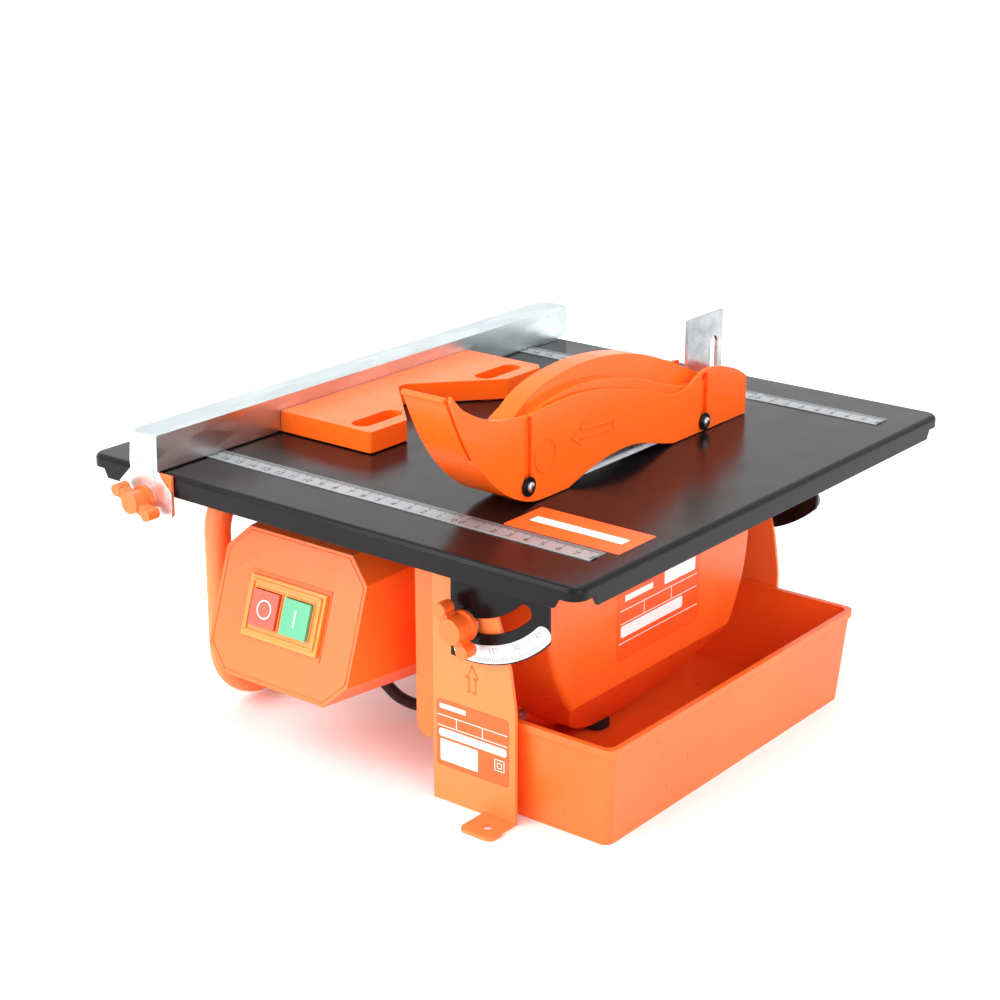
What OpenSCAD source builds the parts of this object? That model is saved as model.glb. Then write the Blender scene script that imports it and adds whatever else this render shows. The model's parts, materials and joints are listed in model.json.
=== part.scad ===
// Bench tile cutter: tilting sheet table over a fixed motor, blade and water tray.
// Work frame of the modules: X = 0 is the blade's plane (+X to the right), Y = 0 is the front
// base plate's outer face (+Y to the rear), Z = 0 is the table's top. place() moves the whole
// machine so that its origin lies on the floor, midway between the two foot holes.

/* [Table] */
// Width of the table, left to right
table_w = 330; // [320:1:340]
// Depth of the table, front to rear
table_d = 354; // [350:1:360]
// Thickness of the table sheet
sheet_t = 2; // [1.5:0.1:2.2]
// Height of the folded skirt
skirt_h = 12; // [10:1:14]
// Height of the table's top above the floor
stand_h = 156; // [156:1:160]

/* [Blade and motor] */
// Diameter of the diamond blade
blade_d = 180; // [176:1:180]
// Height of the blade above the table
cut_h = 35; // [34:1:36]
// Bore of the blade
bore_d = 22.2; // [20:0.1:25.4]
// Outside diameter of the motor
motor_d = 92; // [86:1:92]

/* [Tilt] */
// Greatest tilt of the table, in degrees
tilt_max = 45; // [30:1:45]
// Radius of the clamp slot's middle line
slot_r = 51.5; // [50:0.5:53]

/* [Fence and guide] */
// Width of the fence rail
rail_w = 20; // [18:1:24]
// Height of the fence rail
rail_h = 20; // [16:1:22]
// Thickness of the angle guide
guide_h = 12; // [10:1:15]

/* [Cord] */
// Diameter of the mains cord
cord_d = 7; // [6:0.5:7]

/* [Hidden] */
$fn = 64;

orange = "#f2601c";
paint_orange = "#f4732e";
steel = "#b9bec2";
zinc = "#ccd6d8";
black = "#262426";
rubber = "#1d1b1c";
far = 500;
eps = 0.05;
gap = 0.3;

// Overall layout
table_x0 = -229;
table_y0 = -37;
base_d = 252;
mid_y = base_d / 2;
plate_t = 2;
foot_x = 28;
foot_y = 12;
foot_hole_r = 3;
blade_r = blade_d / 2;
blade_z = cut_h - blade_r;
rim_w = 8;
motor_r = motor_d / 2;
shaft_r = 6;
fit = 0.05;

// Table edge
edge_r = 3;
corner_r = 8;
lip_h = 7;
skirt_start = [11, 9];
skirt_slant = 5;
blade_slot = [-7, 44, 12, 200];
ruler_t = 0.5;
ruler_x = [-196, 83];
ruler_w = 13.4;
ruler_y = [-3.4, 272.4];

// Tilt mechanism
pivot_x = 7.5;
quad_t = 2;
quad_x = [-20, 58.5];
quad_r = 71.5;
guide_pin_r = 26;
guide_pin_a = -40;
bolt_r = 4;
washer_t = 1.2;
knob_l = 12.5;

// Blade housing and its cover
web_x = -30;
wall_x = -14;
wall_t = 2;
housing_z = [-124, -16];
cover_r = blade_r + 4.5;
cover_x = 35;
cover_t = 2.5;
cover_edge = 4;
cover_slope = [[35, -110], [6, -149]];
flange_r = 98;
cover_cut_z = -8;
drain = [1.5, 118];
ear_angles = [16, 164, 228, 312];
ear_r = 99;

// Motor, left to right along its axis
bell_rear_x = -158;
shell_x0 = -150;
shell_x1 = -40;
stator_x = [-116, -72];
winding_l = 12;
fan_x = [-138, -130];
bearing_front = [-52, -42];
bearing_rear = [-149, -140];

// Knife and guards
knife_y = [201.5, 237];
knife_top = 62;
knife_slot_y = 228.5;
knife_slot_z = [4, 44.5];
arch_w = 20.7;
arch_crown_w = 12;
plate_in = 10.6;
plate_out = 12.6;
screw_front = [40.5, 10.6];
screw_rear = [202, 6];
guard_slot_top = [44, 31];
left_guard_top = 37;
wing_z = 11;
flap_x0 = -18;
flap_t = 2;
flap_gap = 2;
guard_low = 0.5;
slot_half = 3.2;

// Fence and guide
rail_x = -192.3;
rail_z = 0.8;
rail_y = [-39, 322];
clamp_t = 1.3;
clamp_bolt = [-182, -15.3];
guide_x = -172;

// Switch box: its front face leans back by face_a
face_a = 18.5;
face_c = [-105.4, -15.5, -71.2];
button_w = 18.6;
button_h = 19.6;
button_x = [-12, 10.7];
bezel_hole = [23.8, 14.3];
box_front = [101, 81];
box_rear_y = 78;
box_rear = [[-155, -46], [-114, -25]];
box_wall = 2.5;
box_chamfer = 13.4;

// Tray
tray_x = [-18, 91.5];
tray_y = [6, 245.5];
tray_top = 55;
tray_draft = 4;
tray_t = 2.2;

// Leg
leg_x = -181;
leg_tube_r = 7.5;
leg_y = [10, 242];
leg_z = [-146.5, -20];
leg_bend = 30;

// Cord: from the gland to the coil, and from the coil to the plug
cord_route = [[-102.5, 53.3, -128.2], [-99.5, 57.5, -135.8], [-95, 63, -144],
    [-88, 71, -149.8], [-80, 82, -152.3], [-70, 97, -152.5], [-58, 116, -152.5],
    [-48, 140, -152.5], [-42.5, 156, -152.5], [-41.1, 170, -152.5]];
tail_route = [[-92, 220.9, -145.2], [-104, 221.2, -147], [-116, 223.5, -150.4],
    [-127, 229, -152.2], [-136, 237.5, -151], [-142.5, 248, -146.6], [-146.6, 259, -141],
    [-148, 270, -138]];
gland_base = [-110, 43, -111];
coil_c = [-92, 170];
coil_r = [25.1, 54.5];
coil_h = 14.5;
plug_y = 266;
plug_r = 18;

module place() translate([-foot_x, -mid_y, stand_h]) children();
module rod_x(x0, x1, r, y, z) translate([x0, y, z]) rotate([0, 90, 0]) cylinder(h = x1 - x0, r = r);
module rod_y(y0, y1, r, x, z) translate([x, y1, z]) rotate([90, 0, 0]) cylinder(h = y1 - y0, r = r);
module slab_x(x0, x1) translate([x0, 0, 0]) rotate([90, 0, 90]) linear_extrude(x1 - x0) children();
module slab_y(y0, y1) translate([0, y1, 0]) rotate([90, 0, 0]) linear_extrude(y1 - y0) children();
module box_between(a, b) translate(a) cube(b - a);
module to_rear() translate([0, base_d, 0]) mirror([0, 1, 0]) children();
module motor_rod(x0, x1, r) rod_x(x0, x1, r, mid_y, blade_z);
module round_rect(w, d, r) {
    translate([r, 0]) square([w - 2 * r, d]);
    translate([0, r]) square([w, d - 2 * r]);
    for (x = [r, w - r], y = [r, d - r]) translate([x, y]) circle(r);
}

// Catmull-Rom curve through the given points, n steps to a span
function spline_at(p, i, t) =
    let (last = len(p) - 1,
        a = p[max(i - 1, 0)], b = p[i], c = p[min(i + 1, last)], d = p[min(i + 2, last)])
    0.5 * (2 * b + (c - a) * t + (2 * a - 5 * b + 4 * c - d) * t * t
        + (3 * b - a - 3 * c + d) * t * t * t);
function spline(p, n) = [
    for (i = [0 : len(p) - 2], k = [0 : n - 1]) spline_at(p, i, k / n),
    p[len(p) - 1]];

// Angles around the tilt axis count from straight down towards the right
function swing(r, a) = [pivot_x + r * sin(a), -r * cos(a)];
module swing_band(r, w, a0, a1) {
    intersection() {
        translate([pivot_x, 0]) difference() {
            circle(r + w / 2);
            circle(r - w / 2);
        }
        polygon([[pivot_x, 0], swing(far, a0), swing(far, (a0 + a1) / 2), swing(far, a1)]);
    }
    for (a = [a0, a1]) translate(swing(r, a)) circle(w / 2 - 0.02);
}

// ---- base ----
module base_plate() {
    pin = swing(guide_pin_r, guide_pin_a);
    difference() {
        union() {
            slab_y(0, plate_t) polygon([[-17, -stand_h], [-17, -12], [-2, -12], [16, -20],
                [19.5, -30], [28, -53], [33, -71], [35.6, -87.4], [36.5, -95],
                [36.5, -stand_h]]);
            translate([17, -22, -stand_h]) linear_extrude(plate_t) union() {
                translate([0, 4]) square([19.5, 20]);
                round_rect(21, 12, 4);
            }
            rod_y(-quad_t - gap * 2, eps, 2.5, pin[0], pin[1]);
        }
        rod_y(-1, plate_t + 1, bolt_r + fit, pivot_x, -slot_r);
        translate([foot_x, -foot_y, -stand_h - 1]) cylinder(h = 4, r = foot_hole_r);
    }
}
module base_plate_front() color(paint_orange) base_plate();
module base_plate_rear() color(paint_orange) to_rear() base_plate();

module blade_housing() {
    h = housing_z[1] - housing_z[0];
    w = wall_x - web_x;
    color(orange) difference() {
        union() {
            slab_y(plate_t, base_d - plate_t) translate([web_x, housing_z[0]]) union() {
                translate([8, 0]) square([w - 8, h]);
                translate([0, 8]) square([w, h - 8]);
                translate([8, 8]) circle(8);
            }
            slab_x(wall_x, wall_x + wall_t) intersection() {
                translate([mid_y, blade_z]) circle(flange_r, $fn = 128);
                translate([0, -far]) square([base_d, far + housing_z[1]]);
            }
        }
        box_between([web_x + 3, plate_t + 3, housing_z[0] + 3],
            [wall_x, base_d - plate_t - 3, housing_z[1] - 3]);
        motor_rod(web_x - 1, web_x + 4, 20);
        motor_rod(wall_x - 1, wall_x + wall_t + 1, 14);
    }
}

module cover_profile(r, depth, edge) {
    square([r - edge, depth]);
    square([r, depth - edge]);
    translate([r - edge, depth - edge]) circle(edge);
}
// Everything behind the cover's sloping lower face, less a wall thickness
module behind_slope(inset) {
    run = cover_slope[0] - cover_slope[1];
    slab_y(-far, far) offset(delta = -inset) polygon([cover_slope[1] - run,
        cover_slope[0] + 3 * run, [-60, 20], [-60, -190]]);
}
module housing_cover() {
    x0 = wall_x + wall_t;
    depth = cover_x - x0;
    color(orange) difference() {
        union() {
            intersection() {
                translate([x0, mid_y, blade_z]) rotate([0, 90, 0])
                    rotate_extrude($fn = 128) intersection() {
                        cover_profile(cover_r, depth, cover_edge);
                        square([far, far]);
                    }
                behind_slope(0);
            }
            motor_rod(x0, x0 + 2.5, flange_r);
            for (a = ear_angles) rod_x(x0, x0 + 5, 6,
                mid_y + ear_r * cos(a), blade_z + ear_r * sin(a));
        }
        intersection() {
            translate([x0 - eps, mid_y, blade_z]) rotate([0, 90, 0])
                rotate_extrude($fn = 128) intersection() {
                    cover_profile(cover_r - cover_t, depth - cover_t + eps, cover_edge - cover_t);
                    square([far, far]);
                }
            behind_slope(cover_t);
        }
        slab_y(-far, far) polygon([[-60, cover_cut_z], [pivot_x, cover_cut_z],
            [pivot_x + far, cover_cut_z - far], [far, far], [-60, far]]);
        translate([drain[0], drain[1], -far]) cylinder(h = far, r = 4);
    }
}
module cover_screws() color(steel) for (a = ear_angles) {
    y = mid_y + ear_r * cos(a);
    z = blade_z + ear_r * sin(a);
    rod_x(wall_x + wall_t + 5, wall_x + wall_t + 7.5, 3.4, y, z);
}
module drain_plug() color(rubber) {
    z = blade_z - cover_r;
    translate([drain[0], drain[1], z - 3.2]) cylinder(h = 3.2, r = 8);
    translate([drain[0], drain[1], z - 0.1]) cylinder(h = 3.5, r = 4 - fit);
}

// Solid with upright left side and the other three sides leaning in towards the floor
module tray_solid(inset, z0) hull() {
    w = tray_x[1] - tray_x[0] - 2 * inset;
    d = tray_y[1] - tray_y[0] - 2 * inset;
    translate([inset, inset + tray_draft, z0]) linear_extrude(0.5)
        round_rect(w - tray_draft, d - 2 * tray_draft, 5);
    translate([inset, inset, tray_top - 2]) linear_extrude(z0 > 0 ? tray_top : 0.5)
        round_rect(w, d, 5);
}
module water_tray() {
    w = tray_x[1] - tray_x[0];
    d = tray_y[1] - tray_y[0];
    rim = 1.2;
    color(orange) translate([tray_x[0], tray_y[0], -stand_h]) difference() {
        union() {
            tray_solid(rim, 0);
            translate([0, 0, tray_top - 4]) linear_extrude(4) round_rect(w, d, 6);
        }
        tray_solid(rim + tray_t, tray_t);
        box_between([-1, -1, stand_h + housing_z[0] - 2.5], [wall_x - tray_x[0] + 1, d + 1, far]);
    }
}

module tube_z(x, y, z0, z1) translate([x, y, z0]) cylinder(h = z1 - z0, r = leg_tube_r);
module leg_corner(y, z, turn) translate([leg_x, y, z]) rotate([0, 90, 0]) rotate([0, 0, turn])
    rotate_extrude(angle = 90) translate([leg_bend, 0]) circle(leg_tube_r);
module support_leg() color(paint_orange) {
    y0 = leg_y[0];
    y1 = leg_y[1];
    z0 = leg_z[0];
    z1 = leg_z[1];
    for (y = leg_y) tube_z(leg_x, y, z0 + leg_bend, z1 - leg_bend);
    for (z = leg_z) rod_y(y0 + leg_bend, y1 - leg_bend, leg_tube_r, leg_x, z);
    leg_corner(y1 - leg_bend, z0 + leg_bend, 0);
    leg_corner(y1 - leg_bend, z1 - leg_bend, 90);
    leg_corner(y0 + leg_bend, z1 - leg_bend, 180);
    leg_corner(y0 + leg_bend, z0 + leg_bend, 270);
}
module leg_crossbar() color(paint_orange) {
    x = leg_x + leg_tube_r;
    box_between([x, leg_y[0] - 4, -94], [x + 3, leg_y[1] + 4, -68]);
    for (s = [-1, 1]) box_between([x + 3, mid_y + s * 30 - 6, -92], [bell_rear_x, mid_y + s * 30 + 6, -78]);
}
module rubber_pads() color(rubber) {
    for (y = [60, 192]) difference() {
        rod_y(y, y + 16, 9.5, leg_x, leg_z[0]);
        rod_y(y - 1, y + 17, leg_tube_r, leg_x, leg_z[0]);
    }
    for (y = [60, 192]) difference() {
        translate([leg_x, y, leg_z[1]]) cylinder(h = -leg_z[1] - sheet_t - gap, r = 6);
        rod_y(y - 10, y + 10, leg_tube_r, leg_x, leg_z[1]);
    }
}

module tilt_bolt() {
    rod_y(-15, plate_t, bolt_r, pivot_x, -slot_r);
    rod_y(plate_t, plate_t + 2.6, 7, pivot_x, -slot_r);
}
module tilt_bolts() color(steel) {
    tilt_bolt();
    to_rear() tilt_bolt();
}
module tilt_washer() difference() {
    y = -quad_t - 2 * gap;
    rod_y(y - washer_t, y, 8, pivot_x, -slot_r);
    rod_y(y - 3, y + 1, bolt_r + fit, pivot_x, -slot_r);
}
module tilt_washers() color(steel) {
    tilt_washer();
    to_rear() tilt_washer();
}

// Wing knob on a Y axis through (0, 0): a hub on a flange, and two lobes joined by a web
module wing_knob(l, bore, a, hub_r, lobe_r) {
    reach = 12;
    wing = 8;
    difference() {
        union() {
            rod_y(-l, 0, hub_r, 0, 0);
            rod_y(-2.5, 0, hub_r + 1.5, 0, 0);
            for (s = [-reach, reach])
                rod_y(0.8 - l, 0.8 - l + wing, lobe_r, s * cos(a), s * sin(a));
            rotate([0, -a, 0]) box_between([-reach, 1.2 - l, -2.5], [reach, wing - l, 2.5]);
        }
        rod_y(-l + 1, 1, bore, 0, 0);
    }
}
module tilt_knob() translate([pivot_x, -quad_t - 2 * gap - washer_t - gap, -slot_r])
    wing_knob(knob_l, bolt_r + fit, -54, 6.8, 3.7);
module tilt_knob_front() color(orange) tilt_knob();
module tilt_knob_rear() color(orange) to_rear() tilt_knob();

// ---- motor ----
module tube_part(x0, x1, ro, ri) difference() {
    motor_rod(x0, x1, ro);
    motor_rod(x0 - 1, x1 + 1, ri);
}
module motor_shell() color(orange) tube_part(shell_x0, shell_x1, motor_r, motor_r - 2.2);
module motor_front_bell() color("#8b8f92") difference() {
    union() {
        motor_rod(shell_x1, web_x, motor_r);
        motor_rod(bearing_front[0] - 2, shell_x1, 19);
    }
    motor_rod(bearing_front[0], bearing_front[1], 16);
    motor_rod(bearing_front[0] - 3, web_x + 1, 9);
}
module motor_rear_bell() color("#8b8f92") difference() {
    union() {
        motor_rod(bell_rear_x, shell_x0, motor_r);
        motor_rod(shell_x0, bearing_rear[1] + 1, 18);
    }
    motor_rod(bearing_rear[0], bearing_rear[1] + 2, 15);
    motor_rod(bell_rear_x + 3, bearing_rear[0] + 1, 8);
    for (a = [0 : 30 : 330]) rod_x(bell_rear_x - 1, bell_rear_x + 9, 3,
        mid_y + 32 * cos(a), blade_z + 32 * sin(a));
}
module stator_core() color("#77787a") tube_part(stator_x[0], stator_x[1], motor_r - 2.2 - fit, 24.6);
module stator_winding() color("#b4682e") {
    tube_part(stator_x[0] - winding_l, stator_x[0], 41, 28);
    tube_part(stator_x[1], stator_x[1] + winding_l, 41, 28);
}
module motor_bearings() color(steel) {
    tube_part(bearing_front[0], bearing_front[1], 16 - fit / 2, shaft_r + fit / 2);
    tube_part(bearing_rear[0], bearing_rear[1], 15 - fit / 2, shaft_r + fit / 2);
}
module rotor_shaft() color(steel) motor_rod(bearing_rear[0] - 4, 20, shaft_r);
module rotor() color("#8f8478") {
    tube_part(stator_x[0], stator_x[1], 24, shaft_r + fit);
    tube_part(stator_x[0] - 6, stator_x[0], 22, 14);
    tube_part(stator_x[1], stator_x[1] + 6, 22, 14);
}
module cooling_fan() color(black) {
    tube_part(fan_x[0], fan_x[1], 11, shaft_r + fit);
    tube_part(fan_x[0], fan_x[0] + 1.6, 38, 10);
    for (a = [0 : 40 : 320]) translate([0, mid_y, blade_z]) rotate([a, 0, 0])
        box_between([fan_x[0] + 1, 10, -0.8], [fan_x[1], 37, 0.8]);
}
module run_capacitor() color("#d9d9d4") rod_y(28, 72, 15, -72, -66);

// ---- arbor and blade ----
module inner_flange() color(steel) {
    tube_part(-9, -1.1, 20, shaft_r + fit);
    tube_part(-1.1, 0.9, bore_d / 2 - fit, shaft_r + fit);
    tube_part(-11.5, -9, 10, shaft_r + fit);
}
module outer_flange() color(steel) tube_part(1.1, 7, 20, shaft_r + fit);
module arbor_nut() color(steel) difference() {
    translate([7, mid_y, blade_z]) rotate([0, 90, 0]) cylinder(h = 8, r = 11, $fn = 6);
    motor_rod(6, 16, shaft_r + fit);
}
module blade_disc() color("#a9adb0") tube_part(-0.8, 0.8, blade_r - rim_w, bore_d / 2);
module diamond_rim() color("#8d8a80") tube_part(-1.1, 1.1, blade_r, blade_r - rim_w);

// ---- knife ----
module riving_knife() color(steel) difference() {
    slab_x(-1, 1) difference() {
        union() {
            translate([knife_y[0], -70]) square([knife_y[1] - knife_y[0], knife_top + 70]);
            translate([knife_y[1] - 1, -70]) square([10, 46]);
        }
        translate([mid_y, blade_z]) circle(blade_r + 5, $fn = 128);
        for (z = knife_slot_z) translate([knife_slot_y, z]) circle(3.5);
        translate([knife_slot_y - 3.5, knife_slot_z[0]])
            square([7, knife_slot_z[1] - knife_slot_z[0]]);
    }
    for (z = [-62, -34]) rod_x(-2, 2, 3, 238, z);
}
module knife_bracket() color(paint_orange) difference() {
    box_between([wall_x, 228, -72], [-1, 247, -26]);
    for (z = [-62, -34]) rod_x(-9, 0, 3, 238, z);
}
module knife_bolts() color(steel) for (z = [-62, -34]) {
    rod_x(-8, 1, 3 - fit, 238, z);
    rod_x(1, 5, 5, 238, z);
}

// ---- table ----
// Section of the rolled edge: outer face at x = 0, top at y = 0, folded down to y = -lip_h
module rim_section() {
    translate([-sheet_t, -lip_h]) square([sheet_t, lip_h - edge_r]);
    intersection() {
        translate([-edge_r, -edge_r]) difference() {
            circle(edge_r);
            circle(edge_r - sheet_t);
        }
        translate([-edge_r, -edge_r]) square(edge_r);
    }
}
// One side's rolled edge between its corners, with the skirt below it cut back at both ends
module folded_side(length, start) {
    translate([0, length - corner_r, 0]) rotate([90, 0, 0])
        linear_extrude(length - 2 * corner_r) rim_section();
    slab_x(-sheet_t, 0) polygon([[start, -edge_r], [length - start, -edge_r],
        [length - start - skirt_slant, -skirt_h], [start + skirt_slant, -skirt_h]]);
}
module table() {
    w = table_w;
    d = table_d;
    color(black) translate([table_x0, table_y0, 0]) difference() {
        union() {
            translate([edge_r, edge_r, -sheet_t]) linear_extrude(sheet_t)
                round_rect(w - 2 * edge_r, d - 2 * edge_r, corner_r - edge_r);
            for (c = [[w, d, 0], [0, d, 90], [0, 0, 180], [w, 0, 270]]) {
                translate([abs(c[0] - corner_r), abs(c[1] - corner_r), 0]) rotate([0, 0, c[2]])
                    rotate_extrude(angle = 90) translate([corner_r, 0]) rim_section();
                across = c[2] == 0 || c[2] == 180;
                translate([c[0], c[1], 0]) rotate([0, 0, c[2] + 90])
                    folded_side(across ? w : d, across ? skirt_start[1] : skirt_start[0]);
            }
        }
        translate([blade_slot[0] - table_x0, blade_slot[1] - table_y0, -10]) linear_extrude(20)
            round_rect(blade_slot[2], blade_slot[3], 5.9);
    }
}
module rulers() color("#9aa0a3") for (y = ruler_y)
    box_between([ruler_x[0], y, 0], [ruler_x[1], y + ruler_w, ruler_t]);
module quadrant() {
    slab_y(-quad_t - gap, -gap) difference() {
        union() {
            intersection() {
                translate([pivot_x, 0]) circle(quad_r, $fn = 128);
                translate([quad_x[0] + 17, -quad_r])
                    square([quad_x[1] - quad_x[0] - 17, quad_r - sheet_t]);
            }
            translate([quad_x[0], -28]) square([quad_x[1] - quad_x[0], 28 - sheet_t]);
        }
        swing_band(slot_r, 2 * (bolt_r + gap), 0, tilt_max);
        swing_band(guide_pin_r, 2 * (2.5 + gap), guide_pin_a, guide_pin_a + tilt_max);
    }
    box_between([quad_x[0], -14, -sheet_t - 1.8], [quad_x[1], -gap, -sheet_t]);
}
module quadrant_front() color(black) quadrant();
module quadrant_rear() color(black) to_rear() quadrant();
module angle_scale() slab_y(-quad_t - gap - 0.4, -quad_t - gap) swing_band(66, 9.6, -3, 46.5);
module angle_scales() color("#dfe3e4") {
    angle_scale();
    to_rear() angle_scale();
}

// ---- fence and guide ----
module fence_rail() color(zinc) difference() {
    box_between([rail_x, rail_y[0], rail_z], [rail_x + rail_w, rail_y[1], rail_z + rail_h]);
    box_between([rail_x + 1.5, rail_y[0] - 1, rail_z - 1],
        [rail_x + rail_w - 1.5, rail_y[1] + 1, rail_z + rail_h - 1.5]);
}
module fence_clamp_plate() color(zinc) slab_y(rail_y[0] - clamp_t, rail_y[0]) difference() {
    polygon([[-191, 20.5], [-171.3, 20.5], [-172, 0.7], [-162, -9.3], [-162.5, -22.5],
        [-173.6, -23.5], [-190, -22], [-202, -9.5], [-192.7, -0.3], [-193, 4], [-192, 14]]);
    translate(clamp_bolt) circle(3 + fit);
}
module fence_clamp_block() color(orange) difference() {
    box_between([-191, rail_y[0], -22], [-163, table_y0 - 0.4, 0]);
    rod_y(rail_y[0] - 1, table_y0 + 1, 3 + fit, clamp_bolt[0], clamp_bolt[1]);
}
module fence_clamp_knob() color(orange) {
    y = rail_y[0] - clamp_t - gap;
    translate([clamp_bolt[0], y, clamp_bolt[1]]) wing_knob(11.8, 3 - fit, -24, 6, 3.3);
    rod_y(y - 11, table_y0 - 0.4, 3, clamp_bolt[0], clamp_bolt[1]);
}
module angle_guide() color(orange) translate([0, 0, rail_z]) linear_extrude(guide_h) difference() {
    polygon([[guide_x, 54], [-107, 54], [-105.5, 54.6], [-105, 56], [-105, 84], [-152, 131],
        [-152, 138], [-112, 183], [-112, 214], [-117, 219], [guide_x, 219]]);
    for (c = [[-126.2, 58.5], [-132.7, 174]]) translate(c) round_rect(12.4, 36, 6);
}

// ---- guards ----
guard_top = spline([[-19, 71], [-9, 61.5], [12, 52], [38, 48], [58, 48.8], [80, 49.6],
    [104, 47], [122, 43], [145, 37], [161, 31.5], [173, 28.6], [185, 29.5], [194, 33.3],
    [204, 36], [218, 34.6], [235, 29.2], [246, 23]], 4);
guard_arch = spline([[172, guard_low], [163, 2.6], [153, 5.3], [138, 8.8], [123, 9.8],
    [106, 8.2], [90, 4.8], [75, guard_low]], 4);
scoop = spline([[56, guard_low], [47, 1], [37, 3.6], [24, 10], [11.5, 19.8], [1, 31],
    [-7.2, 43], [-14.5, 57], [-19.5, 68.5]], 3);
function guard_outline(rear) = concat([for (p = guard_top) if (p[0] < rear) p], [[rear, 23]],
    [[rear, guard_low]], [for (p = guard_arch) if (p[0] < rear) p], scoop);
// Side view of everything behind the scoop, less an inset
module behind_scoop(inset) offset(delta = -inset)
    polygon(concat(scoop, [[scoop[len(scoop) - 1][0], far], [far, far], [far, -far],
        [scoop[0][0], -far]]));
module flap_band(top) intersection() {
    difference() {
        behind_scoop(0);
        behind_scoop(flap_t);
    }
    translate([-30, guard_low]) square([79, top - guard_low]);
}
module screw_slot(p, top) {
    translate([p[0] - slot_half, p[1]]) square([2 * slot_half, top - p[1]]);
    for (z = [p[1], top]) translate([p[0], z]) circle(slot_half);
}
module side_guard(rear, front_slot_top) difference() {
    polygon(guard_outline(rear));
    screw_slot(screw_front, front_slot_top);
    screw_slot(screw_rear, guard_slot_top[1]);
}
module side_guard_right() color(orange) slab_x(plate_in, plate_out)
    side_guard(246, guard_slot_top[0]);
module side_guard_left() color(orange) slab_x(-plate_out, -plate_in) intersection() {
    side_guard(214, left_guard_top - 7);
    behind_scoop(flap_t + eps);
    translate([-far, 0]) square([2 * far, left_guard_top]);
}
module guard_flap() color(orange) {
    intersection() {
        slab_x(flap_x0, plate_in - flap_gap) flap_band(69);
        slab_y(-far, far) polygon([[flap_x0 + 4.2, guard_low - 1], [plate_in, guard_low - 1],
            [plate_in, 70], [flap_x0, 70], [flap_x0, guard_low + 4.2]]);
    }
    slab_x(plate_in - flap_gap, plate_in) flap_band(34);
    rod_x(flap_x0, plate_in - flap_gap, 1.6, scoop[len(scoop) - 1][0] + 0.7, 68.2);
}
// Side views of the hood: the narrow crown, and the shoulders below it
arch_crown = spline([[23, 32], [29, 40], [37, 46.3], [50, 54.4], [66, 59.3], [84, 61.6],
    [102, 62.2], [126, 60], [150, 54.8], [173, 46.4], [190, 39], [204, 33], [222, 29],
    [241, 26]], 4);
arch_shoulder = spline([[23, 30], [32, 39], [42, 45], [55, 49.4], [72, 52.4], [88, 53],
    [105, 51.8], [123, 48.6], [150, 40.8], [173, 32.8], [190, 29.5], [212, 27], [241, 24]], 4);
module arch_outline(top, inset, low) intersection() {
    offset(delta = -inset) polygon(concat(top, [[241, -40], [23, -40]]));
    translate([0, low]) square(far);
}
module arch_hood(inset, low) {
    x1 = arch_w / 2 - inset;
    x2 = arch_crown_w / 2 - inset;
    slab_x(-x1, x1) arch_outline(arch_shoulder, inset, low);
    slab_x(-x2, x2) arch_outline(arch_crown, inset, low);
}
module arch_guard() color(orange) difference() {
    intersection() {
        union() {
            arch_hood(0, 14);
            box_between([-arch_w / 2, 30, 4], [arch_w / 2, 46, 30]);
            box_between([-arch_w / 2, 196, 2.5], [arch_w / 2, 241, 24]);
        }
        slab_x(-far, far) behind_scoop(flap_t + 0.4);
    }
    arch_hood(2.2, 0);
    box_between([-1.4, 198, 0], [1.4, 239.5, 60]);
    rod_x(-far, far, 3 + fit, knife_slot_y, wing_z);
}
module guard_screws() color(steel) for (p = [screw_front, screw_rear], s = [-1, 1]) {
    x0 = arch_w / 2;
    x1 = plate_out + gap + 1;
    head = 1.2;
    translate([s > 0 ? 0 : -x1 - x0, 0, 0]) rod_x(x0, x1, 2, p[0], p[1]);
    translate([s > 0 ? 0 : -2 * x1 - head, 0, 0]) rod_x(x1, x1 + head, 2.8, p[0], p[1]);
}
module guard_washers() color("#3a3838") for (p = [screw_front, screw_rear], s = [-1, 1])
    translate([s > 0 ? 0 : -2 * (plate_out + gap) - 1, 0, 0]) difference() {
        rod_x(plate_out + gap, plate_out + gap + 1, p == screw_front ? 5.2 : 5, p[0], p[1]);
        rod_x(plate_out, plate_out + 3, 2, p[0], p[1]);
    }
module guard_wing_bolt() color(steel) {
    rod_x(-15, arch_w / 2, 3, knife_slot_y, wing_z);
    rod_x(-14, -arch_w / 2 - gap, 5, knife_slot_y, wing_z);
    box_between([-17, knife_slot_y - 7, wing_z - 1.5], [-12.5, knife_slot_y + 7, wing_z + 1.5]);
}

// ---- switch box ----
module octagon(x0, x1, z0, z1, c) polygon([[x0 + c, z0], [x1 - c, z0], [x1, z0 + c],
    [x1, z1 - c], [x1 - c, z1], [x0 + c, z1], [x0, z1 - c], [x0, z0 + c]]);
module on_face() translate(face_c) rotate([-face_a, 0, 0]) children();
module box_solid(inset) hull() {
    on_face() slab_y(inset, inset + 0.5)
        octagon(-box_front[0] / 2 + inset, box_front[0] / 2 - inset,
            -box_front[1] / 2 + inset, box_front[1] / 2 - inset, box_chamfer);
    slab_y(box_rear_y - inset - 0.5, box_rear_y - inset)
        octagon(box_rear[0][0] + inset, box_rear[0][1] - inset,
            box_rear[1][0] + inset, box_rear[1][1] - inset, box_chamfer);
}
module switch_box() color(orange) difference() {
    union() {
        box_solid(0);
        box_between([box_rear[0][1] - 6, 30, -78], [web_x, 66, -48]);
    }
    box_solid(box_wall);
    on_face() box_between([-bezel_hole[0], -5, -bezel_hole[1]],
        [bezel_hole[0], 5, bezel_hole[1]]);
}
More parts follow.
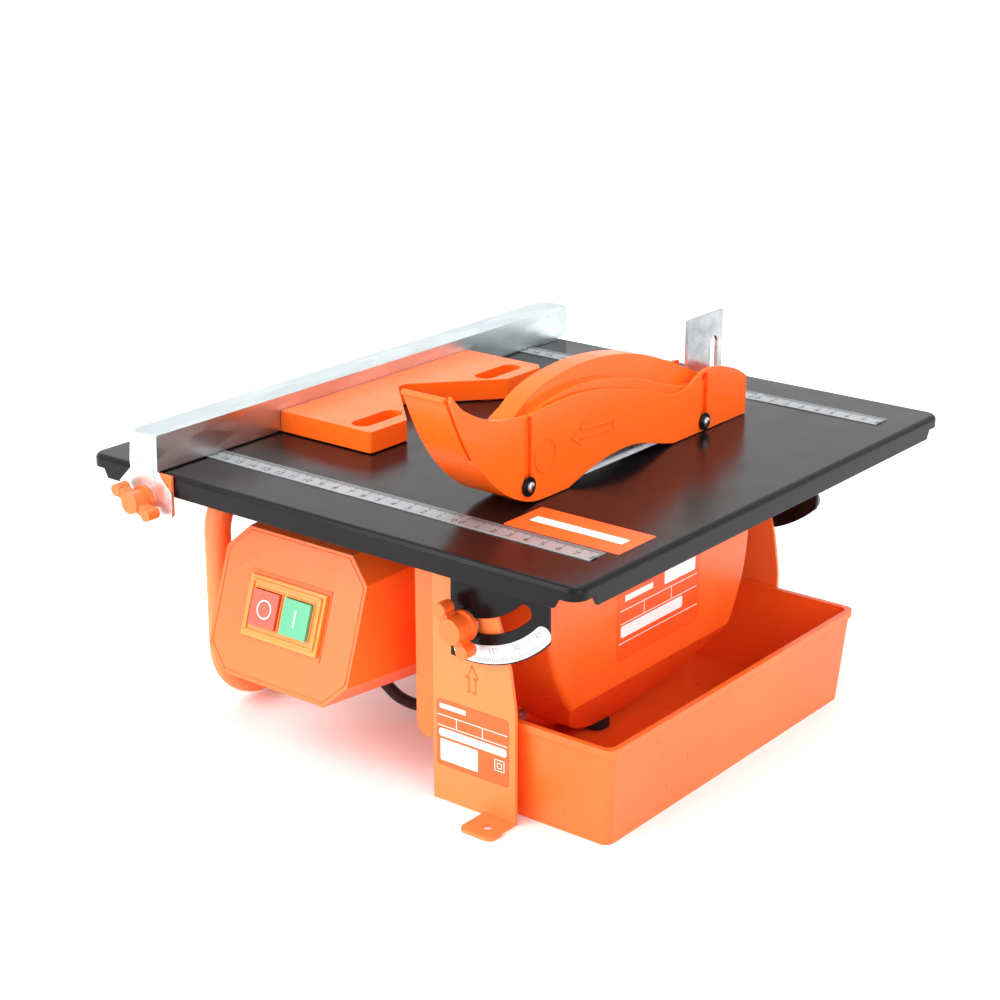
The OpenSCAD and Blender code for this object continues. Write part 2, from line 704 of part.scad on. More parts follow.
module switch_bezel() color("#f29a1e") on_face() difference() {
    union() {
        box_between([-bezel_hole[0] + gap, -2.5, -bezel_hole[1] + gap],
            [bezel_hole[0] - gap, 3, bezel_hole[1] - gap]);
        box_between([-27, -2.5, -16.6], [27.3, -eps, 16.6]);
    }
    for (x = button_x) box_between([x - button_w / 2 - gap, -5, -button_h / 2 - gap],
        [x + button_w / 2 + gap, 5, button_h / 2 + gap]);
}
module switch_body() color(black) on_face() box_between([-23, 7, -13.5], [23, 36, 13.5]);
module button(x) on_face() box_between([x - button_w / 2, -5, -button_h / 2],
    [x + button_w / 2, 3, button_h / 2]);
module stop_button() color("#d0483a") button(button_x[0]);
module start_button() color("#3f9f70") button(button_x[1]);

// ---- cord ----
// Tube swept along a curve: rings stand square to the path, turned so that they don't twist
function unit(v) = v / norm(v);
function tangent(p, i) = unit(p[min(i + 1, len(p) - 1)] - p[max(i - 1, 0)]);
function ring(c, t, r, n) =
    let (side = unit(cross(t, abs(t[2]) > 0.95 ? [1, 0, 0] : [0, 0, 1])), up = cross(side, t))
    [for (k = [0 : n - 1]) c + r * (side * cos(360 * k / n) + up * sin(360 * k / n))];
module tube_along(path, r, n) {
    last = len(path) - 1;
    points = [for (i = [0 : last]) each ring(path[i], tangent(path, i), r, n)];
    sides = [for (i = [0 : last - 1], k = [0 : n - 1])
        [i * n + k, i * n + (k + 1) % n, (i + 1) * n + (k + 1) % n, (i + 1) * n + k]];
    caps = [[for (k = [n - 1 : -1 : 0]) k], [for (k = [0 : n - 1]) last * n + k]];
    polyhedron(points, concat(sides, caps));
}
module cord_gland() {
    tip = cord_route[0];
    v = tip - gland_base;
    color(rubber) translate(gland_base) rotate([0, acos(v[2] / norm(v)), atan2(v[1], v[0])]) {
        cylinder(h = norm(v), r1 = 6.5, r2 = 4.5);
        cylinder(h = 4, r = 8);
    }
}
module mains_cord() color(rubber) tube_along(spline(cord_route, 2), cord_d / 2, 10);
module cord_tail() color(rubber) tube_along(spline(tail_route, 2), cord_d / 2, 10);
module cord_coil() color(rubber) translate([coil_c[0], coil_c[1], -stand_h]) rotate_extrude()
    translate([coil_r[0], 0]) round_rect(coil_r[1] - coil_r[0], coil_h, 3.4);
module cord_tie() color("#3c3c3e") translate([coil_c[0], coil_c[1], -stand_h]) rotate([0, 0, 215])
    difference() {
        box_between([coil_r[0] - 1.8, -5, 1], [coil_r[1] + 1.8, 5, coil_h + 1.2]);
        box_between([coil_r[0] - 0.6, -6, 0], [coil_r[1] + 0.6, 6, coil_h]);
    }
module mains_plug() color(rubber) translate([-148, 0, -stand_h + plug_r]) {
    rod_y(plug_y, plug_y + 14, 9, 0, 0);
    rod_y(plug_y + 14, plug_y + 42, plug_r, 0, 0);
    for (s = [-1, 1]) rod_y(plug_y + 42, plug_y + 53, 2.4, 9.5 * s, 0);
}

place() base_plate_front();
place() base_plate_rear();
place() blade_housing();
place() housing_cover();
place() cover_screws();
place() drain_plug();
place() motor_shell();
place() motor_front_bell();
place() motor_rear_bell();
place() stator_core();
place() stator_winding();
place() motor_bearings();
place() run_capacitor();
place() switch_box();
place() switch_bezel();
place() switch_body();
place() cord_gland();
place() mains_cord();
place() cord_coil();
place() cord_tail();
place() cord_tie();
place() mains_plug();
place() riving_knife();
place() knife_bracket();
place() knife_bolts();
place() water_tray();
place() support_leg();
place() leg_crossbar();
place() rubber_pads();
place() tilt_bolts();
place() tilt_washers();
place() rotor_shaft();
place() rotor();
place() cooling_fan();
place() inner_flange();
place() outer_flange();
place() arbor_nut();
place() blade_disc();
place() diamond_rim();
place() table();
place() rulers();
place() quadrant_front();
place() quadrant_rear();
place() angle_scales();
place() fence_rail();
place() fence_clamp_plate();
place() fence_clamp_block();
place() fence_clamp_knob();
place() angle_guide();
place() side_guard_right();
place() side_guard_left();
place() guard_flap();
place() arch_guard();
place() guard_screws();
place() guard_washers();
place() guard_wing_bolt();
place() tilt_knob_front();
place() tilt_knob_rear();
place() start_button();
place() stop_button();
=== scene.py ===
import json
import math

import bmesh
import bpy
from mathutils import Matrix, Vector


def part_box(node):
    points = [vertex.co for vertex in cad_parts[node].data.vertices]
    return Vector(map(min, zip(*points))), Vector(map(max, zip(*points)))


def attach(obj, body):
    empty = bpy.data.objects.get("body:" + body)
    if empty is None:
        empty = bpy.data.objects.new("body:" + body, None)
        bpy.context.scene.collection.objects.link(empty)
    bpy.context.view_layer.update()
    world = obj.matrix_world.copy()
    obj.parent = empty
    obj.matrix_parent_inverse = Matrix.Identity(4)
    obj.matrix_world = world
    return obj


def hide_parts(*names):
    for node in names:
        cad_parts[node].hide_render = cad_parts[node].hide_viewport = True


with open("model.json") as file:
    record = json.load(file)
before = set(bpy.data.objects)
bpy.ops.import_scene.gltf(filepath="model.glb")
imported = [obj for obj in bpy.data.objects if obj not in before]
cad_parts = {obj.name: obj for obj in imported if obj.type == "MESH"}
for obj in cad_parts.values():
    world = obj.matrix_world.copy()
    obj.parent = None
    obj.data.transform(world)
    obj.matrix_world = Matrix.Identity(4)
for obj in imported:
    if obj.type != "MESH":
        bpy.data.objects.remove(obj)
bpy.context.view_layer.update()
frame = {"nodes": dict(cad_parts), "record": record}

MM = 0.001
TAU = 2 * math.pi

# ---------------------------------------------------------------- camera
# The eye's place, and the way it looks, in the frame's metres and in degrees
EYE = Vector((0.5977, -0.8844, 0.5102))
LOOK_AZIMUTH = 38.3
LOOK_DOWN = 19.21
FOCAL_MM = 76.1


def add_camera():
    camera = bpy.data.cameras.new("camera")
    camera.lens = FOCAL_MM
    camera.sensor_width = 36
    camera.clip_start, camera.clip_end = 0.05, 100
    holder = bpy.data.objects.new("camera", camera)
    bpy.context.scene.collection.objects.link(holder)
    a, e = math.radians(LOOK_AZIMUTH), math.radians(LOOK_DOWN)
    forward = Vector((-math.sin(a) * math.cos(e), math.cos(a) * math.cos(e), -math.sin(e)))
    holder.location = EYE
    holder.rotation_euler = forward.to_track_quat("-Z", "Y").to_euler()
    bpy.context.scene.camera = holder


add_camera()

# ---------------------------------------------------------------- landmarks
# Places on the frame that several pieces are set out from
blade_x = sum(v.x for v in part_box("blade_disc")) / 2
arbor = Vector((blade_x, *(sum(v[i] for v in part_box("blade_disc")) / 2 for i in (1, 2))))
table_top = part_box("table")[1].z
PLATE_T = 2 * MM
plate_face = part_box("base_plate_front")[1].y - PLATE_T


def joint(name):
    """A joint of the record, by its name."""
    return next(j for j in frame["record"]["behaviour"]["joints"] if j["name"] == name)


# ---------------------------------------------------------------- mesh helpers
def link(name, data):
    piece = bpy.data.objects.new(name, data)
    bpy.context.scene.collection.objects.link(piece)
    return piece


def finish_mesh(name, bm, body, material, sharp=35):
    """A piece from a bmesh: smooth faces, sharp where they meet at more than the given angle."""
    bmesh.ops.recalc_face_normals(bm, faces=bm.faces)
    mesh = bpy.data.meshes.new(name)
    bm.to_mesh(mesh)
    bm.free()
    mesh.polygons.foreach_set("use_smooth", [True] * len(mesh.polygons))
    mesh.set_sharp_from_angle(angle=math.radians(sharp))
    mesh.materials.append(material)
    piece = link(name, mesh)
    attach(piece, body)
    return piece


def soften(piece, width, segments=2, angle=30):
    bevel = piece.modifiers.new("soft_edges", "BEVEL")
    bevel.width = width
    bevel.segments = segments
    bevel.limit_method = "ANGLE"
    bevel.angle_limit = math.radians(angle)
    bevel.harden_normals = False
    return piece


def prism(bm, outline, place, depth):
    """Extrudes a flat outline of (u, v) points by depth along the place's third axis."""
    low = [bm.verts.new(place @ Vector((u, v, 0))) for u, v in outline]
    high = [bm.verts.new(place @ Vector((u, v, depth))) for u, v in outline]
    bm.faces.new(low[::-1])
    bm.faces.new(high)
    count = len(outline)
    for i in range(count):
        j = (i + 1) % count
        bm.faces.new((low[i], low[j], high[j], high[i]))


def rectangle(u0, v0, u1, v1):
    return [(u0, v0), (u1, v0), (u1, v1), (u0, v1)]


def circle(radius, count=32, u=0.0, v=0.0):
    return [(u + radius * math.cos(TAU * k / count), v + radius * math.sin(TAU * k / count))
            for k in range(count)]


def rounded(u0, v0, u1, v1, radius, steps=5):
    points = []
    for cu, cv, start in ((u1 - radius, v1 - radius, 0), (u0 + radius, v1 - radius, 90),
                          (u0 + radius, v0 + radius, 180), (u1 - radius, v0 + radius, 270)):
        for k in range(steps + 1):
            a = math.radians(start + 90 * k / steps)
            points.append((cu + radius * math.cos(a), cv + radius * math.sin(a)))
    return points


def band(points, width):
    """Outline of an even stroke along open (u, v) points."""
    left, right = [], []
    for i, p in enumerate(points):
        a, b = points[max(i - 1, 0)], points[min(i + 1, len(points) - 1)]
        du, dv = b[0] - a[0], b[1] - a[1]
        size = math.hypot(du, dv)
        nu, nv = -dv / size * width / 2, du / size * width / 2
        left.append((p[0] + nu, p[1] + nv))
        right.append((p[0] - nu, p[1] - nv))
    return left + right[::-1]


def lathe(bm, profile, place, count=32):
    """Turns (distance along axis, radius) points round the place's third axis.

    A radius of 0 closes an end.
    """
    rings = []
    for height, radius in profile:
        if radius == 0:
            rings.append([bm.verts.new(place @ Vector((0, 0, height)))])
        else:
            rings.append([bm.verts.new(place @ Vector((u, v, height)))
                          for u, v in circle(radius, count)])
    for a, b in zip(rings, rings[1:]):
        for k in range(count):
            j = (k + 1) % count
            if len(a) == 1:
                bm.faces.new((a[0], b[j], b[k]))
            elif len(b) == 1:
                bm.faces.new((a[k], a[j], b[0]))
            else:
                bm.faces.new((a[k], a[j], b[j], b[k]))
    for ring, flip in ((rings[0], True), (rings[-1], False)):
        if len(ring) > 1:
            bm.faces.new(ring[::-1] if flip else ring)


def axes(origin, u, v):
    """A place whose first two axes are u and v and whose third is their cross product."""
    u, v = Vector(u).normalized(), Vector(v).normalized()
    w = u.cross(v)
    m = Matrix((u, v, w)).transposed().to_4x4()
    m.translation = Vector(origin)
    return m


def lettering(bm, text, size, place):
    """Adds flat numerals, centred on the place, raised a little along its third axis."""
    curve = bpy.data.curves.new("numerals", "FONT")
    curve.body = text
    curve.size = size
    curve.align_x, curve.align_y = "CENTER", "CENTER"
    curve.extrude = 0.02 * MM
    curve.resolution_u = 3
    holder = link("numerals", curve)
    depsgraph = bpy.context.evaluated_depsgraph_get()
    mesh = bpy.data.meshes.new_from_object(holder.evaluated_get(depsgraph))
    mesh.transform(place)
    bm.from_mesh(mesh)
    bpy.data.meshes.remove(mesh)
    bpy.data.objects.remove(holder)
    bpy.data.curves.remove(curve)


# ---------------------------------------------------------------- materials
def srgb(text):
    values = [int(text[i:i + 2], 16) / 255 for i in (1, 3, 5)]
    return (*(c / 12.92 if c < 0.04045 else ((c + 0.055) / 1.055) ** 2.4 for c in values), 1)


class Finish:
    """A procedural material: colour mottling, roughness variation, fine relief and a mask for a
    painted highlight on edges.
    """

    def __init__(self, name, rough, metallic=0.0, specular=0.5):
        self.material = bpy.data.materials.new(name)
        self.material.use_nodes = True
        self.tree = self.material.node_tree
        self.shader = self.tree.nodes["Principled BSDF"]
        self.shader.inputs["Roughness"].default_value = rough
        self.shader.inputs["Metallic"].default_value = metallic
        self.shader.inputs["Specular IOR Level"].default_value = specular
        self.coords = self.add("ShaderNodeTexCoord").outputs["Object"]

    def add(self, kind, **values):
        node = self.tree.nodes.new(kind)
        for key, value in values.items():
            setattr(node, key, value)
        return node

    def join(self, source, target):
        self.tree.links.new(source, target)

    def stretched(self, scale):
        mapping = self.add("ShaderNodeMapping")
        mapping.inputs["Scale"].default_value = scale
        self.join(self.coords, mapping.inputs["Vector"])
        return mapping.outputs["Vector"]

    def noise(self, scale, detail=2.0, rough=0.5, stretch=(1, 1, 1)):
        node = self.add("ShaderNodeTexNoise")
        node.inputs["Scale"].default_value = scale
        node.inputs["Detail"].default_value = detail
        node.inputs["Roughness"].default_value = rough
        self.join(self.stretched(stretch), node.inputs["Vector"])
        return node.outputs["Fac"]

    def cells(self, scale, stretch=(1, 1, 1), feature="F1", output="Distance"):
        node = self.add("ShaderNodeTexVoronoi", feature=feature)
        node.inputs["Scale"].default_value = scale
        self.join(self.stretched(stretch), node.inputs["Vector"])
        return node.outputs[output]

    def mapped(self, source, low, high, to_low, to_high):
        node = self.add("ShaderNodeMapRange")
        ends = {"From Min": low, "From Max": high, "To Min": to_low, "To Max": to_high}
        for key, value in ends.items():
            node.inputs[key].default_value = value
        self.join(source, node.inputs["Value"])
        return node.outputs["Result"]

    def blend(self, share, first, second):
        node = self.add("ShaderNodeMix", data_type="RGBA")
        self.join(share, node.inputs["Factor"])
        for value, key in ((first, "A"), (second, "B")):
            target = [s for s in node.inputs if s.name == key and s.type == "RGBA"][0]
            if isinstance(value, tuple):
                target.default_value = value
            else:
                self.join(value, target)
        return [s for s in node.outputs if s.type == "RGBA"][0]

    def colour(self, source):
        self.join(source, self.shader.inputs["Base Color"])

    def roughness(self, source):
        self.join(source, self.shader.inputs["Roughness"])

    def relief(self, layers, edge=0.0006):
        """Stacks bumps, each (height source, depth in metres), on slightly rounded edges."""
        rounded_edge = self.add("ShaderNodeBevel", samples=4)
        rounded_edge.inputs["Radius"].default_value = edge
        normal = rounded_edge.outputs["Normal"]
        for source, depth in layers:
            bump = self.add("ShaderNodeBump")
            bump.inputs["Distance"].default_value = depth
            bump.inputs["Strength"].default_value = 1.0
            self.join(source, bump.inputs["Height"])
            self.join(normal, bump.inputs["Normal"])
            normal = bump.outputs["Normal"]
        self.join(normal, self.shader.inputs["Normal"])

    def edge_share(self, radius, gain):
        """1 on sharp edges, 0 on flat faces."""
        wide = self.add("ShaderNodeBevel", samples=4)
        wide.inputs["Radius"].default_value = radius
        geometry = self.add("ShaderNodeNewGeometry")
        dot = self.add("ShaderNodeVectorMath", operation="DOT_PRODUCT")
        self.join(wide.outputs["Normal"], dot.inputs[0])
        self.join(geometry.outputs["Normal"], dot.inputs[1])
        return self.mapped(dot.outputs["Value"], 1.0, 1.0 - gain, 0.0, 1.0)


def moulded(name, light, dark, rough=0.32, grain=900, depth=0.00002, coat=0.0, specular=0.5):
    """Moulded plastic: soft mottling, faint orange-peel and a painted highlight that pales the
    edges.
    """
    f = Finish(name, rough, specular=specular)
    base = f.blend(f.mapped(f.noise(9, 3), 0.35, 0.65, 0, 1), srgb(light), srgb(dark))
    painted_edge_highlight = tuple(min(1.0, c * 1.18 + 0.015) for c in srgb(light)[:3]) + (1,)
    # Edges blended towards a paler orange: a painted highlight along the rims.
    f.colour(f.blend(f.edge_share(0.0009, 0.25), base, painted_edge_highlight))
    f.roughness(f.mapped(f.noise(60, 4), 0.3, 0.7, rough - 0.06, rough + 0.08))
    f.relief([(f.noise(140, 2), depth * 4), (f.noise(grain, 2), depth)], 0.0007)
    f.shader.inputs["Coat Weight"].default_value = coat
    f.shader.inputs["Coat Roughness"].default_value = 0.12
    return f.material


def powder_coat(name, light, dark, rough=0.42, grain=1300, depth=0.00003):
    """Powder coated sheet: fine orange-peel with slight colour drift."""
    f = Finish(name, rough)
    f.colour(f.blend(f.mapped(f.noise(6, 3), 0.35, 0.65, 0, 1), srgb(light), srgb(dark)))
    f.roughness(f.mapped(f.noise(220, 2), 0.3, 0.7, rough - 0.07, rough + 0.07))
    f.relief([(f.cells(grain), depth), (f.noise(grain / 3, 2), depth * 1.5)], 0.0005)
    return f.material


def hammered(name, light, dark):
    """Near black paint with the close pebbling of a satin stove enamel."""
    f = Finish(name, 0.22, specular=0.16)
    f.colour(f.blend(f.mapped(f.noise(14, 4), 0.35, 0.65, 0, 1), srgb(light), srgb(dark)))
    f.roughness(f.mapped(f.noise(45, 4), 0.3, 0.7, 0.16, 0.27))
    f.relief([(f.noise(420, 2, 0.6), 0.00003), (f.noise(1500, 2), 0.00001)], 0.0009)
    return f.material


def galvanised(name, light, dark, rough=0.24):
    """Zinc plated sheet: crystal patches that differ in tone and gloss, with drawing lines."""
    f = Finish(name, rough, metallic=1.0)
    patches = f.cells(130, (1, 0.35, 1), output="Color")
    value = f.add("ShaderNodeSeparateColor")
    f.join(patches, value.inputs["Color"])
    f.colour(f.blend(f.mapped(value.outputs["Red"], 0, 1, 0, 1), srgb(light), srgb(dark)))
    f.roughness(f.mapped(value.outputs["Green"], 0, 1, rough - 0.05, rough + 0.08))
    f.relief([(f.noise(30, 3, 0.5, (1, 0.2, 1)), 0.00008),
              (f.noise(2600, 1, 0.5, (1, 0.04, 1)), 0.000004)], 0.0006)
    return f.material


def machined(name, light, dark, rough=0.3, metallic=1.0, stretch=(1, 1, 1), grain=900):
    """Bare metal with fine tool marks and faint stains."""
    f = Finish(name, rough, metallic=metallic)
    f.colour(f.blend(f.mapped(f.noise(40, 4), 0.3, 0.7, 0, 1), srgb(light), srgb(dark)))
    f.roughness(f.mapped(f.noise(160, 3), 0.3, 0.7, rough - 0.06, rough + 0.1))
    f.relief([(f.noise(grain, 2, 0.5, stretch), 0.00001)], 0.0004)
    return f.material


def rubbery(name, light, dark, rough=0.6):
    f = Finish(name, rough, specular=0.35)
    f.colour(f.blend(f.mapped(f.noise(30, 3), 0.3, 0.7, 0, 1), srgb(light), srgb(dark)))
    f.roughness(f.mapped(f.noise(200, 3), 0.3, 0.7, rough - 0.1, rough + 0.1))
    f.relief([(f.noise(1600, 2), 0.00003)], 0.0006)
    return f.material


def ground_disc(name, light, dark):
    """Steel disc ground in rings about the arbor."""
    f = Finish(name, 0.3, metallic=1.0)
    shift = f.add("ShaderNodeVectorMath", operation="SUBTRACT")
    shift.inputs[1].default_value = arbor
    f.join(f.coords, shift.inputs[0])
    size = f.add("ShaderNodeVectorMath", operation="LENGTH")
    f.join(shift.outputs["Vector"], size.inputs[0])
    rings = f.add("ShaderNodeTexNoise", noise_dimensions="1D")
    rings.inputs["Scale"].default_value = 1400
    rings.inputs["Detail"].default_value = 3
    f.join(size.outputs["Value"], rings.inputs["W"])
    f.colour(f.blend(f.mapped(rings.outputs["Fac"], 0.3, 0.7, 0, 1), srgb(light), srgb(dark)))
    f.roughness(f.mapped(f.noise(60, 3), 0.3, 0.7, 0.24, 0.4))
    f.relief([(rings.outputs["Fac"], 0.00001)], 0.0004)
    return f.material


def gritty(name, light, dark):
    """Sintered bond with diamond grit standing out of it."""
    f = Finish(name, 0.55, metallic=0.7)
    grit = f.cells(1800)
    f.colour(f.blend(f.mapped(grit, 0.1, 0.5, 0, 1), srgb(light), srgb(dark)))
    f.relief([(grit, 0.0002)], 0.0004)
    return f.material


MATERIALS = {
    "paint_orange": powder_coat("paint_orange", "#FF7D3E", "#FC7536"),
    "orange_plastic": moulded("orange_plastic", "#FF6A24", "#FC621E"),
    "black_paint": hammered("black_paint", "#141112", "#0E0B0C"),
    "zinc": galvanised("zinc", "#CDD7D8", "#BFC9CB", 0.34),
    "steel": machined("steel", "#C9CCCE", "#9DA1A4"),
    "ruler_steel": machined("ruler_steel", "#A2A6A8", "#929699", 0.42, 0.6, (0.05, 1, 1), 2400),
    "scale_white": machined("scale_white", "#CED2D3", "#BFC4C6", 0.38, 0.5, (1, 1, 1), 1800),
    "rubber": rubbery("rubber", "#242022", "#191617"),
    "cord_rubber": rubbery("cord_rubber", "#2E2022", "#231A1C", 0.5),
    "cast_alloy": machined("cast_alloy", "#A3A7A9", "#83878A", 0.5, 0.9, (1, 1, 1), 700),
    "core_steel": machined("core_steel", "#6D6C6B", "#4F4E4E", 0.45, 0.9, (12, 1, 1), 900),
    "copper": machined("copper", "#B8672F", "#8E4A20", 0.35, 0.9, (1, 6, 6), 900),
    "amber_plastic": moulded("amber_plastic", "#FF8A30", "#FB812B", 0.22, coat=0.25),
    "red_plastic": moulded("red_plastic", "#D8533C", "#CC4A34", 0.25, coat=0.3),
    "green_plastic": moulded("green_plastic", "#56B082", "#4CA478", 0.25, coat=0.3),
    "black_plastic": moulded("black_plastic", "#242323", "#1A1919", 0.45),
    "white_plastic": moulded("white_plastic", "#E9E8E2", "#DBDAD3", 0.45),
    "disc_steel": ground_disc("disc_steel", "#B9BDC0", "#8F9396"),
    "diamond_bond": gritty("diamond_bond", "#8D8A80", "#5E5C55"),
}
BRIGHT_GUARD = moulded("guard_plastic", "#FF6618", "#FD5E12", 0.24, coat=0.06, specular=0.2)
# Near black, for printed marks and also for painted shade in the screws' cross recesses
INK_AND_PAINTED_SHADE = moulded("ink_and_painted_shade", "#0E0E0F", "#141415", 0.5, specular=0.2)
GREY_INK = moulded("grey_ink", "#77797B", "#808284", 0.5)
STICKER = moulded("sticker", "#FF5A1C", "#FF5617", 0.35)
STICKER_WHITE = moulded("sticker_white", "#F4F2F0", "#ECEAE7", 0.4)
SYMBOL_WHITE = moulded("symbol_white", "#F2F0EC", "#E8E6E1", 0.35)

for part in frame["record"]["subparts"]:
    node = frame["nodes"][part["node"]]
    node.data.materials.clear()
    node.data.materials.append(MATERIALS[part["material_slot"]])
for name in ("guard_flap", "arch_guard", "side_guard_right", "side_guard_left", "angle_guide"):
    frame["nodes"][name].data.materials[0] = BRIGHT_GUARD

# ---------------------------------------------------------------- marks and raised lines
def at(x, y, z):
    """A place in mm from the blade's plane, the front plate's outer face and the table's top."""
    return Vector((blade_x + x * MM, plate_face + y * MM, table_top + z * MM))


def ring_outline(bm, place, radius, width, depth, start=0.0, end=360.0, steps=40):
    """A round stroke about the place, in mm and degrees."""
    arc = [(radius * MM * math.cos(math.radians(start + (end - start) * k / steps)),
            radius * MM * math.sin(math.radians(start + (end - start) * k / steps)))
           for k in range(steps + 1)]
    for a, b in zip(arc, arc[1:]):
        prism(bm, band([a, b], width * MM), place, depth * MM)


def stroke(bm, place, points, width, depth, closed=False):
    """A raised line through flat points, in mm, with a round spot on each corner."""
    flat = [(u * MM, v * MM) for u, v in points]
    pairs = list(zip(flat, flat[1:] + ([flat[0]] if closed else [])))
    for a, b in pairs:
        prism(bm, band([a, b], width * MM), place, depth * MM)
    for u, v in flat:
        prism(bm, circle(width / 2 * MM, 10, u, v), place, depth * MM)


def mm_box(bm, place, u0, v0, u1, v1, depth):
    prism(bm, rectangle(u0 * MM, v0 * MM, u1 * MM, v1 * MM), place, depth * MM)


def mm_patch(name, place, u0, v0, u1, v1, radius, depth, body, material):
    """A thin plate with round corners, such as a sticker."""
    bm = bmesh.new()
    prism(bm, rounded(u0 * MM, v0 * MM, u1 * MM, v1 * MM, radius * MM), place, depth * MM)
    return finish_mesh(name, bm, body, material)


# Rulers: two scales that count away from the blade, in centimetres
RULER_ZERO = 2.3
RULER_COUNTS = ((-1, 19, 17), (1, 8, 8))
TICKS = {10: 6.0, 5: 4.6, 1: 3.4}
TICK_W, TICK_T = 0.4, 0.04


def add_ruler_marks(name, low, high):
    bm = bmesh.new()
    y0, y1 = low.y / MM, high.y / MM
    place = Matrix.Translation((blade_x, 0, high.z))
    for side, reach, _ in RULER_COUNTS:
        for k in range(reach * 10 + 1):
            x = side * (RULER_ZERO + k)
            if not low.x < blade_x + x * MM < high.x:
                continue
            length = TICKS[10] if k % 10 == 0 else TICKS[5] if k % 5 == 0 else TICKS[1]
            mm_box(bm, place, x - TICK_W / 2, y1 - length, x + TICK_W / 2, y1 - 0.5, TICK_T)
    for side, _, last in RULER_COUNTS:
        for k in range(last + 1):
            numeral = Matrix.Translation((blade_x + side * (RULER_ZERO + 10 * k) * MM,
                                          (y0 + 3.7) * MM, high.z))
            lettering(bm, str(k), 6.2 * MM, numeral)
    finish_mesh(name, bm, "table", INK_AND_PAINTED_SHADE)


strip_low, strip_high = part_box("rulers")
RULER_W = 13.4 * MM
add_ruler_marks("ruler_marks_front", strip_low,
                Vector((strip_high.x, strip_low.y + RULER_W, strip_high.z)))
add_ruler_marks("ruler_marks_rear", Vector((strip_low.x, strip_high.y - RULER_W, strip_low.z)),
                strip_high)

# Angle scales: degrees round the tilt axis, on the front and the rear quadrant
tilt_axis = Vector(joint("table_tilt")["pos_m"])
scale_low, scale_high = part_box("angle_scales")
SCALE_R = (61.4, 70.6)
SCALE_DEGREES = 45


def add_scale_marks(name, face_y, side):
    """side is 1 on the front face and -1 on the rear one, where the marks read from behind."""
    bm = bmesh.new()
    for degree in range(SCALE_DEGREES + 1):
        a = math.radians(degree)
        length = 3.6 if degree % 15 == 0 else 3.0 if degree % 5 == 0 else 2.2
        place = axes((tilt_axis.x, face_y, tilt_axis.z),
                     (side * math.cos(a), 0, side * math.sin(a)), (-math.sin(a), 0, math.cos(a)))
        rim = SCALE_R[1] - 0.6
        mm_box(bm, place, -0.15, -rim, 0.15, length - rim, 0.05)
        if degree % 15 == 0:
            spot = place @ Matrix.Translation((0.3 * MM, (SCALE_R[0] + 2.9) * -MM, 0))
            lettering(bm, f"{degree}\u00b0", 4.6 * MM, spot)
    finish_mesh(name, bm, "table", GREY_INK)


add_scale_marks("scale_marks_front", scale_low.y, 1)
add_scale_marks("scale_marks_rear", scale_high.y, -1)

# Front base plate: raised arrow that points at the scale, and a label left without words
front = axes(at(0, 0, 0), (1, 0, 0), (0, 0, 1))
bm = bmesh.new()
stroke(bm, front, [(8.7, -75.3), (12.3, -81.5), (10.8, -81.5), (10.8, -89.8), (6.5, -89.8),
                   (6.5, -81.5), (4.9, -81.5)], 0.8, 0.5, closed=True)
finish_mesh("tilt_arrow", bm, "base", MATERIALS["paint_orange"])

STICKER_T, INK_T = 0.15, 0.05
RULE = 0.2
mm_patch("front_sticker", front, -14.8, -136, 32.4, -98.5, 2.5, STICKER_T,
         "base", STICKER)
bm = bmesh.new()
on_sticker = front @ Matrix.Translation((0, 0, STICKER_T * MM))
prism(bm, rounded(-0.013, -0.1194, 0.031, -0.115, 0.0015), on_sticker, INK_T * MM)
mm_box(bm, on_sticker, -12.2, -133, 12.4, -120.9, INK_T)
for v in (-107.4, -113.4):
    mm_box(bm, on_sticker, -14, v - RULE, 31.5, v + RULE, INK_T)
for u in (-1.5, 15.5):
    mm_box(bm, on_sticker, u - RULE, -113.4, u + RULE, -107.4, INK_T)
mm_box(bm, on_sticker, -12.5, -103.6, 4.5, -101, INK_T)
for half in (3.0, 1.4):
    square = [(26.5 + half * u, -125.2 + half * v) for u, v in rectangle(-1, -1, 1, 1)]
    stroke(bm, on_sticker, square, 0.45, INK_T, closed=True)
finish_mesh("front_sticker_marks", bm, "base", STICKER_WHITE)

# The same kind of plain label on the cover's right face
cover_face = axes((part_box("housing_cover")[1].x, plate_face, table_top), (0, 1, 0), (0, 0, 1))
mm_patch("cover_sticker", cover_face, 89, -96.5, 168, -34, 2.5, STICKER_T,
         "base", STICKER)
bm = bmesh.new()
on_sticker = cover_face @ Matrix.Translation((0, 0, STICKER_T * MM))
prism(bm, rounded(0.0925, -0.084, 0.151, -0.0773, 0.0015), on_sticker, INK_T * MM)
mm_box(bm, on_sticker, 133, -65.6, 163, -40, INK_T)
for v, y0, y1 in ((-68.5, 92, 165), (-76, 92, 165), (-87, 91, 166)):
    mm_box(bm, on_sticker, y0, v - 0.25, y1, v + 0.25, INK_T)
for y in (114, 140):
    mm_box(bm, on_sticker, y - 0.25, -76, y + 0.25, -68.5, INK_T)
mm_box(bm, on_sticker, 96, -64, 122, -60.5, INK_T)
finish_mesh("cover_sticker_marks", bm, "base", STICKER_WHITE)

# Table sticker, left plain but for one bar
mm_patch("table_sticker", Matrix.Translation(at(0, 0, 0)), 19, 12, 89, 44, 1.0, STICKER_T,
         "table", STICKER)
bm = bmesh.new()
mm_box(bm, Matrix.Translation(at(0, 0, STICKER_T)), 26, 24.5, 82, 31.5, INK_T)
finish_mesh("table_sticker_bar", bm, "table", STICKER_WHITE)

# ---------------------------------------------------------------- switch
inward = Vector(joint("stop_press")["axis"]).normalized()
up_face = inward.cross(Vector((1, 0, 0))).normalized() * -1
if up_face.z < 0:
    up_face = -up_face


